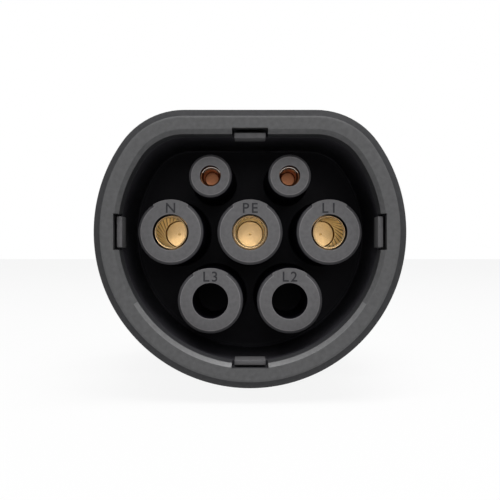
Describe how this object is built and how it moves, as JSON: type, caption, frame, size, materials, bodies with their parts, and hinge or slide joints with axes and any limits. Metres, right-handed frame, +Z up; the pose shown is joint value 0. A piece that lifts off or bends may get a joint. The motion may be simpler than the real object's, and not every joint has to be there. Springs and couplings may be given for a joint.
{
  "type": "ev charging plug",
  "caption": "Single-phase vehicle charging connector: flat-topped round collar with insulated contact towers, smooth two-part grip and cable gland.",
  "frame": {"origin": "axis of the earth contact, in the plane of the front rim", "axes": "+X right and +Z up as seen by someone facing the contacts; +Y runs back from the rim to the cable gland"},
  "size_m": [0.068, 0.1798, 0.0612],
  "materials": {
    "collar_plastic": "fine-grained black nylon moulding",
    "insert_plastic": "satin black nylon moulding",
    "grip_plastic": "fine-grained black moulding",
    "contact_metal": "turned brass, bright",
    "spring_metal": "gold-plated spring sheet",
    "pilot_metal": "copper alloy, darkened",
    "screw_steel": "zinc-plated",
    "seal_rubber": "black rubber",
    "resistor_body": "lacquered",
    "gland_plastic": "black nylon moulding"
  },
  "bodies": {
    "root": {"front_shroud": "collar_plastic", "contact_insert": "insert_plastic", "power_contact_n": "contact_metal", "power_contact_pe": "contact_metal", "power_contact_l1": "contact_metal", "spring_cage_n": "spring_metal", "spring_cage_pe": "spring_metal", "spring_cage_l1": "spring_metal", "signal_contact_cp": "pilot_metal", "signal_contact_pp": "pilot_metal", "contact_lock_plate": "insert_plastic", "lock_screws": "screw_steel", "insert_seal": "seal_rubber", "insert_screws": "screw_steel", "coding_resistor": "resistor_body", "handle_left": "grip_plastic", "handle_right": "grip_plastic", "handle_screws": "screw_steel", "cord_clamp": "insert_plastic", "clamp_screws": "screw_steel", "gland_body": "gland_plastic", "gland_gasket": "seal_rubber", "gland_cage": "gland_plastic", "gland_seal": "seal_rubber", "gland_nut": "gland_plastic"}
  },
  "joints": []
}
